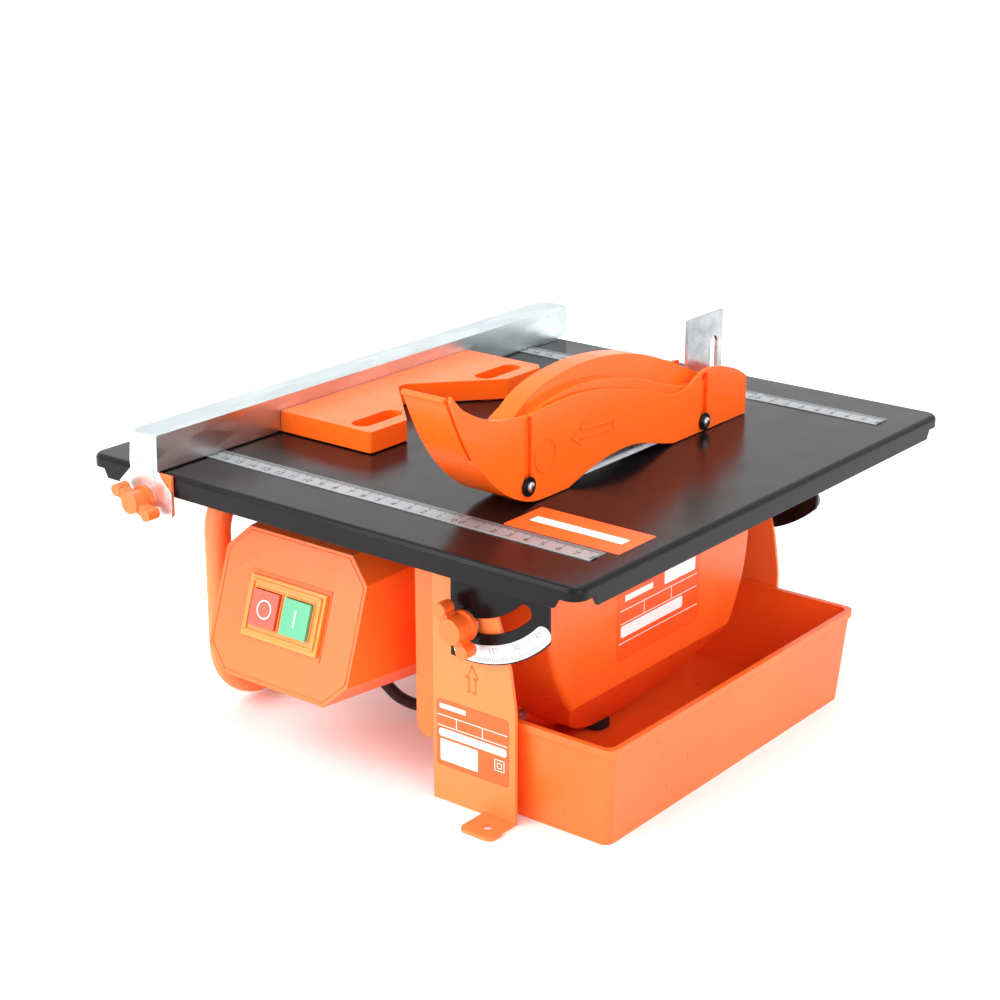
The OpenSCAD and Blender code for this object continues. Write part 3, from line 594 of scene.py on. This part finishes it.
def on_front(node):
    """A place on the outer face of a switch part: right, up the face, and outwards."""
    mesh = frame["nodes"][node].data
    outermost = min(v.co.dot(inward) for v in mesh.vertices)
    low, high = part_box(node)
    middle = (low + high) / 2
    middle += inward * (outermost - middle.dot(inward))
    return axes(middle, (1, 0, 0), up_face)


face = on_front("switch_bezel")
well_h, rim_t = 10.2, 1.2
bm = bmesh.new()
stroke(bm, face, rectangle(-24.2, -13.7, 24.4, 13.7), rim_t, 1.1, closed=True)
for x in (-12.0, 10.7):
    stroke(bm, face, rectangle(x - 9.9, -well_h, x + 9.9, well_h), 0.8, 0.7, closed=True)
soften(finish_mesh("bezel_rims", bm, "base", MATERIALS["amber_plastic"]), 0.2 * MM)

bm = bmesh.new()
stop_face = on_front("stop_button")
ring_outline(bm, stop_face @ Matrix.Translation((0.6 * MM, 0, 0)), 4.8, 0.75, 0.08)
finish_mesh("stop_ring", bm, "stop", SYMBOL_WHITE)
bm = bmesh.new()
mm_box(bm, on_front("start_button"), -0.45, -4.6, 0.45, 4.6, 0.08)
finish_mesh("start_bar", bm, "start", SYMBOL_WHITE)

box_face = axes(at(-105.4, -15.5, -71.2), (1, 0, 0), up_face)
bm = bmesh.new()
half_w, half_h, cut = 48.4, 38.4, 12.8
stroke(bm, box_face, [(-half_w + cut, -half_h), (half_w - cut, -half_h), (half_w, -half_h + cut),
                      (half_w, half_h - cut), (half_w - cut, half_h), (-half_w + cut, half_h),
                      (-half_w, half_h - cut), (-half_w, -half_h + cut)], 0.7, 0.35, closed=True)
stroke(bm, box_face, [(28.6, -18.7), (28.6, 18.7), (-28.6, 18.7)], 0.7, 0.45)
finish_mesh("switch_box_lines", bm, "base", MATERIALS["orange_plastic"])

# ---------------------------------------------------------------- guard
guard_face = axes((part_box("side_guard_right")[1].x, plate_face, table_top), (0, 1, 0), (0, 0, 1))
bm = bmesh.new()
ring_outline(bm, guard_face @ Matrix.Translation((55 * MM, 23.5 * MM, 0)), 8.7, 0.7, 0.5)
stroke(bm, guard_face, [(77, 27), (85, 33), (85, 29.8), (114, 27.8), (114, 23.6), (85, 25.2),
                        (85, 22)], 0.7, 0.5, closed=True)
finish_mesh("guard_raised_marks", bm, "side_guard", BRIGHT_GUARD)

# Domed heads on the ends of the guard's screws, each with a raised near-black cross standing in
# for the recess: painted shade
screw_low, screw_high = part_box("guard_screws")
SCREWS = ((40.5, 10.6), (202.0, 6.0))
HEAD_SINK = 0.6
dome = [(-0.6, 2.8), (0.0, 2.8), (0.7, 2.6), (1.2, 2.1), (1.6, 1.2), (1.7, 0)]
for side, face_x in ((1, screw_high.x), (-1, screw_low.x)):
    for index, (y, z) in enumerate(SCREWS):
        place = axes((face_x, plate_face + y * MM, table_top + z * MM), (0, side, 0), (0, 0, 1))
        bm = bmesh.new()
        sunk = place @ Matrix.Translation((0, 0, -HEAD_SINK * MM))
        lathe(bm, [(d * MM, r * MM) for d, r in dome], sunk, 28)
        label = f"{'right' if side > 0 else 'left'}_{index + 1}"
        finish_mesh(f"guard_screw_dome_{label}", bm, "arch", MATERIALS["steel"], 50)
        # Near-black cross laid on the dome where the real recess is only shade: painted shade
        bm = bmesh.new()
        turned = place @ Matrix.Rotation(math.radians(38), 4, "Z")
        turned = turned @ Matrix.Translation((0, 0, 0.85 * MM))
        mm_box(bm, turned, -1.4, -0.26, 1.4, 0.26, 0.36)
        mm_box(bm, turned, -0.26, -1.4, 0.26, 1.4, 0.36)
        finish_mesh(f"guard_screw_cross_painted_shade_{label}", bm, "arch", INK_AND_PAINTED_SHADE)

# ---------------------------------------------------------------- fence clamp
clamp_face = axes((0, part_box("fence_clamp_plate")[0].y, 0), (1, 0, 0), (0, 0, 1))
bm = bmesh.new()
knob_low, knob_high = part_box("fence_clamp_knob")
bolt_x, bolt_z = ((knob_low[i] + knob_high[i]) / 2 for i in (0, 2))
corner = [at(x, 0, z) for x, z in ((-189.1, 5.4), (-175.5, 5.1), (-175, -8))]
stroke(bm, clamp_face, [(v.x / MM, v.z / MM) for v in corner], 1.4, 0.5)
soften(finish_mesh("clamp_plate_fold", bm, "fence", MATERIALS["zinc"]), 0.3 * MM)
bm = bmesh.new()
ring_outline(bm, clamp_face @ Matrix.Translation((bolt_x, bolt_z, 0)), 6.6, 2.4, 0.25)
finish_mesh("clamp_washer", bm, "fence", MATERIALS["steel"])

# ---------------------------------------------------------------- cord
CORD_D = 0.007
# The lead's way from its strain relief to the coil, and from the coil to the plug, in metres
LEAD_ROUTE = [(-0.1305, -0.0727, 0.0278), (-0.1275, -0.0685, 0.0202), (-0.123, -0.063, 0.012),
              (-0.116, -0.055, 0.0062), (-0.108, -0.044, 0.0037), (-0.098, -0.029, 0.0035),
              (-0.086, -0.010, 0.0035), (-0.076, 0.014, 0.0035), (-0.0705, 0.030, 0.0035)]
TAIL_ROUTE = [(-0.132, 0.0952, 0.009), (-0.144, 0.0975, 0.0056), (-0.155, 0.103, 0.0038),
              (-0.164, 0.1115, 0.005), (-0.1705, 0.122, 0.0094), (-0.1746, 0.133, 0.015),
              (-0.176, 0.144, 0.018)]
COIL_MIDDLE = (-0.120, 0.044)
COIL_INNER, COIL_PITCH, COIL_TURNS = 0.0286, 0.00715, 6.25
COIL_CLIMB = 90
LAYERS = (CORD_D / 2, 0.0108)


def coil_points(step=15):
    """Two flat layers: in along the floor, up at the inside, and out again on top."""
    total = COIL_TURNS * 360
    points = []
    for k in range(int(total / step) + 1):
        a = k * step
        radius = COIL_INNER + COIL_PITCH * math.hypot(a - total / 2, 12) / 360
        t = min(max((a - total / 2) / COIL_CLIMB + 0.5, 0), 1)
        z = LAYERS[0] + (LAYERS[1] - LAYERS[0]) * t * t * (3 - 2 * t)
        points.append((COIL_MIDDLE[0] + radius * math.cos(math.radians(a)),
                       COIL_MIDDLE[1] + radius * math.sin(math.radians(a)), z))
    return points


def smooth_path(points, steps=4):
    """Catmull-Rom curve through the points."""
    out = []
    last = len(points) - 1
    for i in range(last):
        a, b, c, d = (Vector(points[min(max(i + n, 0), last)]) for n in (-1, 0, 1, 2))
        for k in range(steps):
            t = k / steps
            out.append(0.5 * (2 * b + (c - a) * t + (2 * a - 5 * b + 4 * c - d) * t * t
                              + (3 * b - a - 3 * c + d) * t ** 3))
    return out + [Vector(points[last])]


path = smooth_path(LEAD_ROUTE + coil_points() + TAIL_ROUTE)
curve = bpy.data.curves.new("mains_cord_line", "CURVE")
curve.dimensions = "3D"
curve.bevel_depth = CORD_D / 2
curve.bevel_resolution = 4
curve.use_fill_caps = True
spline = curve.splines.new("POLY")
spline.points.add(len(path) - 1)
for point, place in zip(spline.points, path):
    point.co = (*place, 1)
spline.use_smooth = True
curve.materials.append(MATERIALS["cord_rubber"])
cord = link("mains_cord_line", curve)
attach(cord, "base")
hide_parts("mains_cord", "cord_coil", "cord_tail")

# Tie round the coil's section
TIE_ANGLE = math.radians(215)
out_way = Vector((math.cos(TIE_ANGLE), math.sin(TIE_ANGLE), 0))
bm = bmesh.new()
TIE_W = 8
inner = (COIL_INNER - 4 * MM) / MM
outer = (COIL_INNER + COIL_PITCH * COIL_TURNS / 2 + 4.4 * MM) / MM
loop = [(inner, 0.7), (inner, 12.5), (inner + 3, 15.1),
        (outer - 3, 15.1), (outer, 12.5), (outer, 0.7)]
tie_place = axes(Vector((*COIL_MIDDLE, 0)), out_way, (0, 0, 1))
tie_place = tie_place @ Matrix.Translation((0, 0, -TIE_W / 2 * MM))
prism(bm, band([(u * MM, v * MM) for u, v in loop], 1.0 * MM), tie_place, TIE_W * MM)
tie = finish_mesh("cord_tie_strap", bm, "base", MATERIALS["black_plastic"])
soften(tie, 0.25 * MM)
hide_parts("cord_tie")

# Plug with a ribbed neck and two round pins
plug_low, plug_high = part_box("mains_plug")
plug_middle = (plug_low + plug_high) / 2
plug = axes((plug_middle.x, plug_low.y, plug_middle.z), (0, 0, 1), (1, 0, 0))
body = [(-3, 0), (-3, 4.3), (0, 4.6)]
for rib in range(4):
    along, size = 3 * rib, 0.7 * rib
    body += [(1.2 + along, 5.4 + size), (2.7 + along, 5.6 + size), (2.9 + along, 4.9 + size)]
body += [(14, 8.0), (16, 10.5), (19, 15.5), (22, 17.6), (26, 17.9), (26.5, 17.2), (28, 17.2),
         (28.5, 17.9), (30, 17.9), (30.5, 17.2), (32, 17.2), (32.5, 17.9), (40.6, 17.9),
         (41.6, 17.2), (41.9, 16), (41.9, 0)]
bm = bmesh.new()
lathe(bm, [(d * MM, r * MM) for d, r in body], plug, 48)
plug_body = finish_mesh("plug_body", bm, "base", MATERIALS["rubber"], 40)
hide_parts("mains_plug")
pin = [(41, 0), (41, 2.4), (51, 2.4), (52.6, 1.5), (53, 0)]
bm = bmesh.new()
for side in (-1, 1):
    lathe(bm, [(d * MM, r * MM) for d, r in pin],
          plug @ Matrix.Translation((0, side * 9.5 * MM, 0)), 24)
plug_pins = finish_mesh("plug_pins", bm, "base", MATERIALS["steel"], 50)

# Strain relief under the switch box
exit_point = Vector(LEAD_ROUTE[0])
gland_seat = at(-110, 43, -111)
gland_way = (exit_point - gland_seat).normalized()
gland_length = (exit_point - gland_seat).length / MM
relief = [(0, 0), (0, 8), (3.4, 8), (4, 7.4), (4, 6.4)]
for rib in range(4):
    start = 4 + (gland_length - 4.6) * rib / 4
    size = 6.2 - 0.42 * rib
    relief += [(start + 0.4, size), (start + 2.6, size - 0.15), (start + 3.0, size - 0.9)]
relief += [(gland_length, 4.3), (gland_length, 3.6), (gland_length - 0.4, 0)]
side_way = gland_way.cross(Vector((0, 0, 1))).normalized()
bm = bmesh.new()
lathe(bm, [(d * MM, r * MM) for d, r in relief],
      axes(gland_seat, side_way, gland_way.cross(side_way)), 32)
gland = finish_mesh("strain_relief", bm, "base", MATERIALS["rubber"], 40)
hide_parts("cord_gland")

# ---------------------------------------------------------------- softer CAD edges
for name, width, segments in (("angle_guide", 1.2, 3), ("fence_rail", 0.5, 2),
                              ("switch_bezel", 0.6, 2), ("start_button", 1.0, 3),
                              ("stop_button", 1.0, 3), ("tilt_knob_front", 1.0, 3),
                              ("tilt_knob_rear", 1.0, 3), ("fence_clamp_knob", 1.0, 3),
                              ("fence_clamp_plate", 0.3, 2)):
    soften(frame["nodes"][name], width * MM, segments)

# ---------------------------------------------------------------- stage and light
FLOOR_R, FLOOR_T = 30, 0.01


def add_floor():
    bm = bmesh.new()
    prism(bm, circle(FLOOR_R, 96), Matrix.Translation((0, 0, -FLOOR_T)), FLOOR_T)
    mesh = bpy.data.meshes.new("floor")
    bm.to_mesh(mesh)
    bm.free()
    f = Finish("floor", 0.65, specular=0.2)
    pale, paler = ((tone, tone, tone, 1) for tone in (0.91, 0.93))
    f.colour(f.blend(f.mapped(f.noise(1.5, 2), 0.3, 0.7, 0, 1), paler, pale))
    mesh.materials.append(f.material)
    floor = link("floor", mesh)


def add_world():
    """Bright overhead and a little dimmer towards the horizon."""
    world = bpy.data.worlds.new("studio")
    world.use_nodes = True
    tree = world.node_tree
    background = tree.nodes["Background"]
    coords = tree.nodes.new("ShaderNodeTexCoord")
    split = tree.nodes.new("ShaderNodeSeparateXYZ")
    ramp = tree.nodes.new("ShaderNodeValToRGB")
    tree.links.new(coords.outputs["Generated"], split.inputs["Vector"])
    tree.links.new(split.outputs["Z"], ramp.inputs["Fac"])
    tree.links.new(ramp.outputs["Color"], background.inputs["Color"])
    ramp.color_ramp.elements[0].position = 0.0
    ramp.color_ramp.elements[0].color = (0.95, 0.95, 0.96, 1)
    ramp.color_ramp.elements[1].position = 0.6
    ramp.color_ramp.elements[1].color = (1.0, 1.0, 1.0, 1)
    background.inputs["Strength"].default_value = 1.3
    bpy.context.scene.world = world


def add_softbox(name, place, target, size, power):
    light = bpy.data.lights.new(name, "AREA")
    light.shape = "RECTANGLE"
    light.size, light.size_y = size
    light.energy = power
    holder = link(name, light)
    holder.location = place
    holder.rotation_euler = (Vector(target) - Vector(place)).to_track_quat("-Z", "Y").to_euler()


add_floor()
add_world()
add_softbox("key_softbox", (-0.9, -1.5, 1.6), (0, 0, 0.1), (1.4, 1.0), 22)
add_softbox("fill_softbox", (1.9, -0.7, 0.9), (0, 0, 0.1), (1.2, 1.2), 16)
add_softbox("low_front_softbox", (-0.7, -1.9, 0.5), (-0.1, 0, 0.08), (1.4, 0.5), 15)
add_softbox("top_softbox", (0.0, 0.4, 2.2), (0, 0, 0.1), (1.8, 1.8), 24)
bpy.context.scene.view_settings.view_transform = "Standard"
